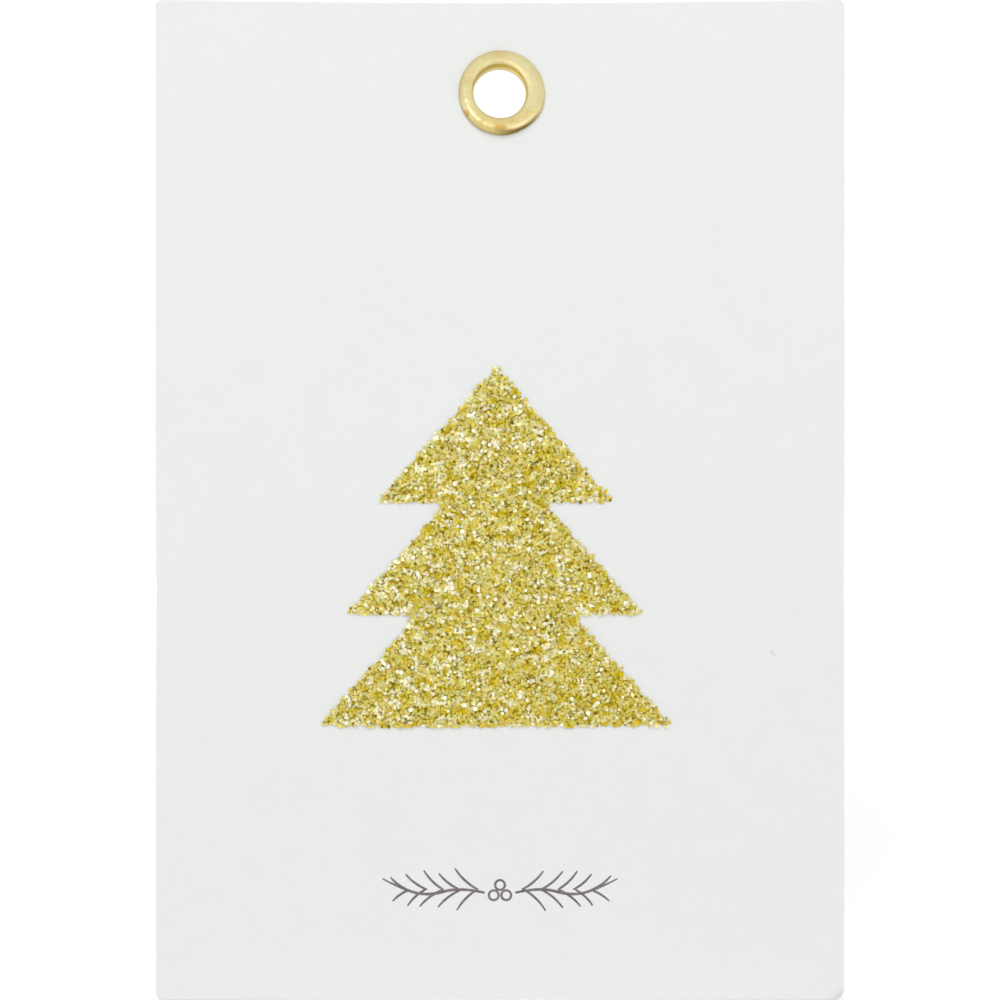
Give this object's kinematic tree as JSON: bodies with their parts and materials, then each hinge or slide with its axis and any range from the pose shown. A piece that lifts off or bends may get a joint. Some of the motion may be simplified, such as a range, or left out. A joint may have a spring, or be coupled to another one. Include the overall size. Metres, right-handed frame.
{
  "type": "gift tag",
  "caption": "Upright rectangular card gift tag with a brass eyelet near its top edge for a hanging string and a tiered glitter tree glued to its front face.",
  "frame": {"origin": "on the eyelet's axis, in the middle of the card's thickness", "axes": "+Z towards the top edge along the card's height, -Y out of the printed face along the eyelet's axis, +X to the right as the printed face is read"},
  "size_m": [0.055, 0.002, 0.0799],
  "materials": {
    "card": "matte",
    "brass": "satin",
    "glue": "satin",
    "glitter": "gloss"
  },
  "bodies": {
    "card": {"card": "card", "tree_glue": "glue", "glitter_coat": "glitter"},
    "eyelet": {"eyelet": "brass"}
  },
  "joints": [
    {"name": "eyelet_turn", "type": "hinge", "parent": "card", "child": "eyelet", "pos_m": [0, 0, 0], "axis": [0, 1, 0], "continuous": true}
  ]
}
